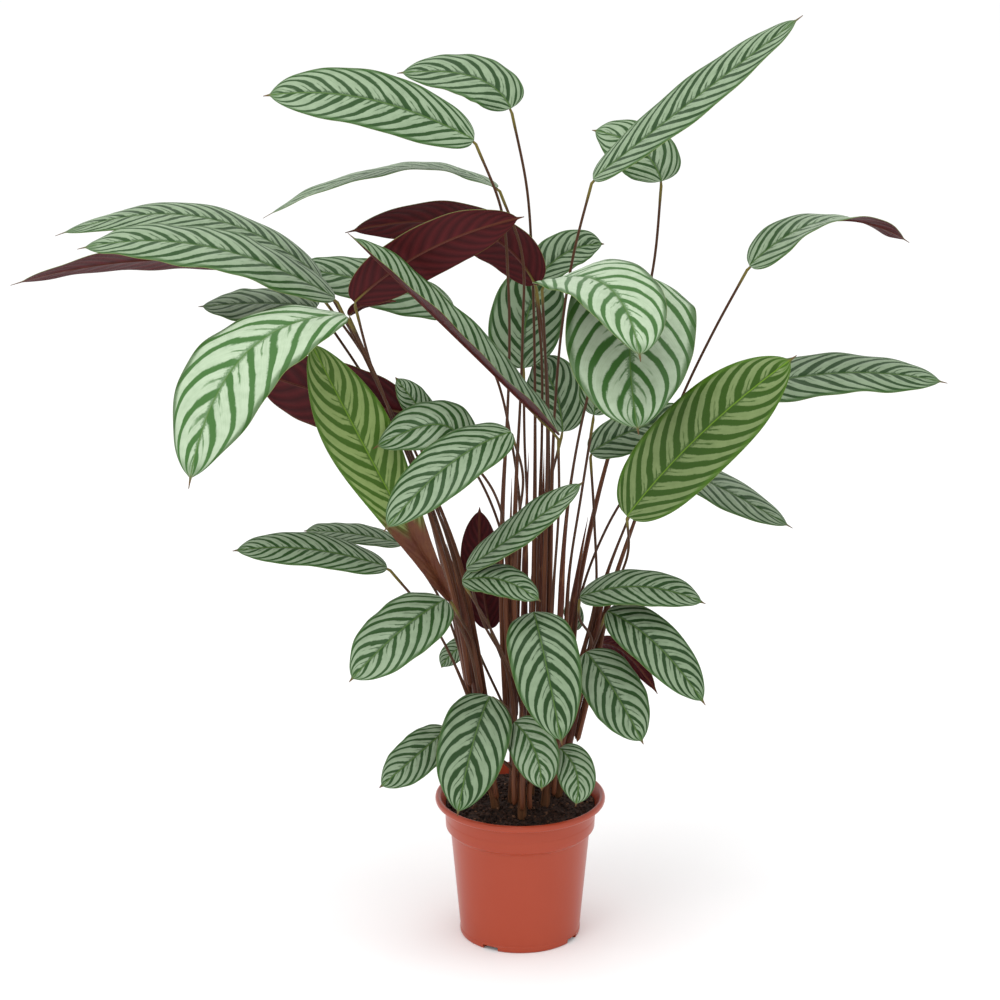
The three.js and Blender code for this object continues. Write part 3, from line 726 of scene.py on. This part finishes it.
def show(made, node, slot, *materials):
    """Gives a piece its finishes and its place on the frame, and hides the node that it stands for."""
    for material in materials:
        made.data.materials.append(material)
    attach(made, "root")
    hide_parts(node)


triangles = 0
for name in leaf_names:
    leaf = leaves[name]
    rng = np.random.default_rng(sum(map(ord, name)))
    spots, fields, widest = blade_grid(name, leaf, rng)
    tone = BRIGHT.get(name, OLIVE.get(name, USUAL_TONE + rng.uniform(-0.12, 0.12)))
    fields["tone"] = np.full(spots.shape[:2], tone)
    blade = carried_grid(name.replace("_leaf", "_blade"), spots, fields)
    shell = blade.modifiers.new("thickness", "SOLIDIFY")
    shell.thickness = BLADE_THICKNESS
    shell.offset = -1
    shell.material_offset = 1
    slot = "young_leaf" if name in OLIVE else "leaf"
    show(blade, name, slot, upper_olive if name in OLIVE else upper_banded, under_burgundy)
    stalk = stalk_of(name, leaf)
    show(stalk, name, slot, stalk_brown)
    triangles += 4 * len(blade.data.polygons) + 2 * len(stalk.data.polygons)
print(len(leaf_names), "leaves,", triangles, "triangles")

# %% [markdown]
# ## Shoots
# The thick stems at the soil are not wood but tightly rolled leaf sheaths, one round the other, with
# fine lines along them and a papery edge here and there. Each is a tube along the frame's own shoot.

# %% Shoots
SHOOT_POINTS = 6
SHOOT_SIDES = 20
SHOOT_TAPER = 0.3
SHOOT_TIP_SHARE = 0.12
RIDGE_HEIGHT_SHARE = 0.05
RIDGE_TURNS_A_METRE = 90


def shoot_finish():
    finish = Finish("sheath", Roughness=0.5, IOR=1.4, Specular_IOR_Level=0.3)
    turn = finish.attribute("turn")
    up = finish.attribute("height")
    streaks = finish.noise(finish.vector(turn * 14, up * 6, 0.0), 4.0, 3, 0.6)
    patch = finish.noise(finish.vector(turn * 2, up * 14, 3.0), 2.0, 2)
    colour = finish.mixed(streaks.over(0.3, 0.75), srgb(46, 18, 12), srgb(116, 62, 38))
    colour = finish.mixed(patch.over(0.52, 0.72) * 0.6, colour, srgb(140, 98, 62))
    colour = finish.mixed((1 - up.over(0.16, 0.24)) * 0.5, colour, srgb(120, 90, 58))
    finish.set("Base Color", colour)
    finish.bump(streaks, 0.5, 0.0006)
    return finish.material


sheath_red = shoot_finish()
for name in shoot_names:
    rings = rings_of(name, SHOOT_POINTS)
    middles = np.array([ring.mean(axis=0) for ring in rings])
    sizes = np.array(
        [np.linalg.norm(ring - ring.mean(axis=0), axis=1).mean() if len(ring) > 1 else 0 for ring in rings]
    )
    if middles[0][2] > middles[-1][2]:
        middles, sizes = middles[::-1], sizes[::-1]
    path = smooth_path(middles[1:-1])
    reach = np.linspace(0, 1, len(path))
    radii = np.interp(path[:, 2], middles[1:-1, 2], sizes[1:-1])
    rng = np.random.default_rng(sum(map(ord, name)))
    swing = np.sin(path[:, 2] * RIDGE_TURNS_A_METRE + rng.uniform(0, 6))
    ridges = 1 + RIDGE_HEIGHT_SHARE * swing
    radii = radii * ridges * np.clip((1 - reach) / SHOOT_TAPER, SHOOT_TIP_SHARE, 1)
    radii[0] = radii[-1] = 0
    spots, turn = tube_spots(path, radii, SHOOT_SIDES)
    fields = {"turn": turn, "height": spots[:, :, 2]}
    show(carried_grid(name, spots, fields, closed=True), name, "shoot", sheath_red)
print(len(shoot_names), "shoots")

# %% [markdown]
# ## The pot
# A terracotta-coloured nursery pot is injection moulded: a tapered body with a wider collar, a
# rolled bead round its rim, and a thin foot with drain notches. One profile is drawn from the axis
# under the floor, out, up and back down the inside, its corners are rounded, and it is spun. The
# notches are cut out of the foot, and the edges that turn sharply are marked to shade sharp.

# %% Pot
POT_STEPS = 128
CORNER_ROUNDING = 0.0007
CORNER_SEGMENTS = 3
SPUN_MERGE = 1e-6
pot_low, pot_high = (Vector(corner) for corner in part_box("pot"))
rim = (pot_high.x - pot_low.x) / 2
top = pot_high.z
BEAD = 0.009
WALL = 0.0018
FLOOR_TOP = 0.003
COLLAR_FOOT = 0.140
collar_low, collar_high = rim - 0.013, rim - 0.011
body_high = rim - 0.019
body_low = rim - 0.0305
BAND = 0.007
bead_inner = rim - 0.0065
POT_PROFILE = [
    (0, 0.0014), (body_low - 0.012, 0.0014), (body_low - 0.010, 0), (body_low - 0.0012, 0),
    (body_low, 0.0012), (body_low + 0.0003, BAND), (body_low - 0.0002, BAND + 0.0006),
    (body_high, COLLAR_FOOT - 0.004), (body_high + 0.003, COLLAR_FOOT - 0.001),
    (collar_low, COLLAR_FOOT + 0.002), (collar_low + 0.0006, COLLAR_FOOT + 0.0145),
    (collar_low + 0.0003, COLLAR_FOOT + 0.0155), (collar_high, top - BEAD - 0.0015),
    (rim - 0.0018, top - BEAD), (rim - 0.0003, top - BEAD * 0.78), (rim, top - BEAD / 2),
    (rim - 0.0006, top - BEAD * 0.22), (rim - 0.0022, top - 0.0006),
    ((rim + bead_inner) / 2, top), (bead_inner, top - 0.002),
    (collar_high - WALL, top - BEAD - 0.003), (collar_low - WALL, COLLAR_FOOT + 0.004),
    (body_high - WALL, COLLAR_FOOT), (body_low - WALL, FLOOR_TOP), (0, FLOOR_TOP),
]


def spun(name, profile, steps, rounding=0.0):
    """A closed profile in the XZ plane, its corners rounded, turned all the way about Z."""
    shape = bmesh.new()
    line = [shape.verts.new((radius, 0, height)) for radius, height in profile]
    edges = [shape.edges.new(pair) for pair in zip(line, line[1:])]
    if rounding:
        bmesh.ops.bevel(
            shape, geom=line[1:-1], offset=rounding, offset_type="OFFSET", affect="VERTICES",
            segments=CORNER_SEGMENTS, profile=0.5, material=-1,
        )
    bmesh.ops.spin(
        shape, geom=shape.verts[:] + shape.edges[:], cent=(0, 0, 0), axis=(0, 0, 1),
        angle=2 * math.pi, steps=steps, use_merge=True, use_duplicate=False,
    )
    bmesh.ops.remove_doubles(shape, verts=shape.verts, dist=SPUN_MERGE)
    bmesh.ops.recalc_face_normals(shape, faces=shape.faces)
    for face in shape.faces:
        face.smooth = True
    data = bpy.data.meshes.new(name)
    shape.to_mesh(data)
    shape.free()
    made = bpy.data.objects.new(name, data)
    bpy.context.scene.collection.objects.link(made)
    return made


pot = spun("pot_shell", POT_PROFILE, POT_STEPS, CORNER_ROUNDING)

NOTCH_COUNT = 4
NOTCH = Vector((0.016, 0.021, 0.011))
NOTCH_STANDS_OUT = 0.004
FIRST_NOTCH = math.radians(-120)
CREASE_TURN = math.radians(50)
cutter_mesh = bmesh.new()
for i in range(NOTCH_COUNT):
    made = bmesh.ops.create_cube(cutter_mesh, size=1)["verts"]
    bmesh.ops.scale(cutter_mesh, vec=NOTCH, verts=made)
    bmesh.ops.translate(cutter_mesh, vec=(body_low - NOTCH.x / 2 + NOTCH_STANDS_OUT, 0, 0), verts=made)
    turn = FIRST_NOTCH + i * 2 * math.pi / NOTCH_COUNT
    spin = Matrix.Rotation(turn, 3, "Z")
    bmesh.ops.rotate(cutter_mesh, cent=(0, 0, 0), matrix=spin, verts=made)
cutter_data = bpy.data.meshes.new("notches")
cutter_mesh.to_mesh(cutter_data)
cutter_mesh.free()
cutter = bpy.data.objects.new("notches", cutter_data)
bpy.context.scene.collection.objects.link(cutter)
cut = pot.modifiers.new("notches", "BOOLEAN")
cut.operation = "DIFFERENCE"
cut.object = cutter
cut.solver = "EXACT"
bpy.context.view_layer.update()
whole = bpy.data.meshes.new_from_object(pot.evaluated_get(bpy.context.evaluated_depsgraph_get()))
pot.modifiers.clear()
pot.data = whole
bpy.data.objects.remove(cutter)


def crease(data, least_turn):
    """Edges that turn more than least_turn shade sharp. The mesh stays closed."""
    shape = bmesh.new()
    shape.from_mesh(data)
    for edge in shape.edges:
        if edge.calc_face_angle(0) > least_turn:
            edge.smooth = False
    shape.to_mesh(data)
    shape.free()


crease(pot.data, CREASE_TURN)


def pot_finish():
    finish = Finish("terracotta_plastic", Roughness=0.3, IOR=1.46, Specular_IOR_Level=0.4)
    place = finish.place()
    cloud = finish.noise(place, 9, 3)
    grain = finish.noise(place, 900, 2, 0.6)
    colour = finish.mixed(cloud, srgb(158, 58, 32), srgb(168, 68, 42))
    colour = finish.mixed((grain - 0.4) * 0.2, colour, srgb(124, 48, 32))
    finish.set("Base Color", colour)
    finish.bump(grain * 0.4 + finish.noise(place, 130, 2), 0.12, 0.0004)
    return finish.material


show(pot, "pot", "pot", pot_finish())
print("pot", len(pot.data.polygons), "faces")

# %% [markdown]
# ## The soil
# Potting peat is dark and crumbly. The bed is a spun disc pushed up and down by noise; crumbs and
# splinters lie on it, small solids that catch the light the way loose peat does.

# %% Soil
SOIL_STEPS = 110
SOIL_RINGS = 44
SOIL_GAP = 0.0008
SOIL_TOP = 0.178
SOIL_SAG = 0.006
SOIL_LEVEL = 0.17
SOIL_UNDERSIDE = 0.150
SOIL_MOVED_FROM = 0.165
PEAT_GRAIN = 260
soil_high = Vector(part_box("soil")[1])
soil_edge = collar_high - WALL - SOIL_GAP
soil_radii = np.linspace(0, soil_edge, SOIL_RINGS)


def soil_height(x, y):
    radius = math.hypot(x, y)
    mound = SOIL_TOP - SOIL_SAG * smooth(0.4, 1.0, radius / soil_edge)
    spot = Vector((x, y, 0))
    lumps = noise.noise(spot * 60) * 0.0034 + noise.noise(spot * 170) * 0.0022
    crumbs = noise.noise(spot * 460) * 0.0009
    return float(mound) + lumps + crumbs - 0.0015


profile = [(radius, SOIL_LEVEL) for radius in soil_radii]
profile += [(soil_edge, SOIL_UNDERSIDE), (0, SOIL_UNDERSIDE)]
bed = spun("soil_bed", profile, SOIL_STEPS)
for vertex in bed.data.vertices:
    if vertex.co.z > SOIL_MOVED_FROM:
        vertex.co.z = soil_height(vertex.co.x, vertex.co.y)
bed.data.update()


def soil_finish(name, dark, light):
    finish = Finish(name, Roughness=0.9, IOR=1.35)
    place = finish.place()
    grain = finish.noise(place, PEAT_GRAIN, 4, 0.65)
    colour = finish.mixed(grain.over(0.35, 0.7), dark, light)
    finish.set("Base Color", colour)
    finish.bump(grain, 0.8, 0.0012)
    return finish.material


peat = soil_finish("peat", srgb(30, 20, 16), srgb(74, 50, 38))
peat_light = soil_finish("peat_light", srgb(70, 46, 34), srgb(128, 92, 66))
show(bed, "soil", "soil", peat)

CRUMBS = 1500
CRUMB_SIZES = (0.0007, 0.001, 0.0014, 0.002, 0.0028)
PALE_CRUMBS = 0.12
crumbs = bmesh.new()
draw = random.Random(7)
for i in range(CRUMBS):
    radius = soil_edge * 0.985 * math.sqrt(draw.random())
    turn = draw.uniform(0, 2 * math.pi)
    x, y = radius * math.cos(turn), radius * math.sin(turn)
    size = draw.choice(CRUMB_SIZES) * draw.uniform(0.7, 1.2)
    z = soil_height(x, y) + size * 0.3
    made = bmesh.ops.create_icosphere(crumbs, subdivisions=1, radius=size)["verts"]
    for vertex in made:
        vertex.co *= 1 + 0.45 * noise.noise(vertex.co / size * 1.7 + Vector((i, 0, 0)))
    stretch = (draw.uniform(0.8, 1.7), draw.uniform(0.6, 1.2), draw.uniform(0.5, 0.9))
    bmesh.ops.scale(crumbs, vec=stretch, verts=made)
    spin = Euler((draw.uniform(-0.4, 0.4), draw.uniform(-0.4, 0.4), draw.uniform(0, 6)))
    bmesh.ops.rotate(crumbs, cent=(0, 0, 0), matrix=spin.to_matrix(), verts=made)
    bmesh.ops.translate(crumbs, vec=(x, y, z), verts=made)
    pale = 1 if draw.random() < PALE_CRUMBS else 0
    for face in {f for v in made for f in v.link_faces}:
        face.material_index = pale
        face.smooth = True
crumb_data = bpy.data.meshes.new("soil_crumbs")
crumbs.to_mesh(crumb_data)
crumbs.free()
crumb_piece = bpy.data.objects.new("soil_crumbs", crumb_data)
bpy.context.scene.collection.objects.link(crumb_piece)
show(crumb_piece, "soil", "soil", peat, peat_light)
print("soil:", CRUMBS, "crumbs on a bed whose node tops out at", round(soil_high.z, 3))
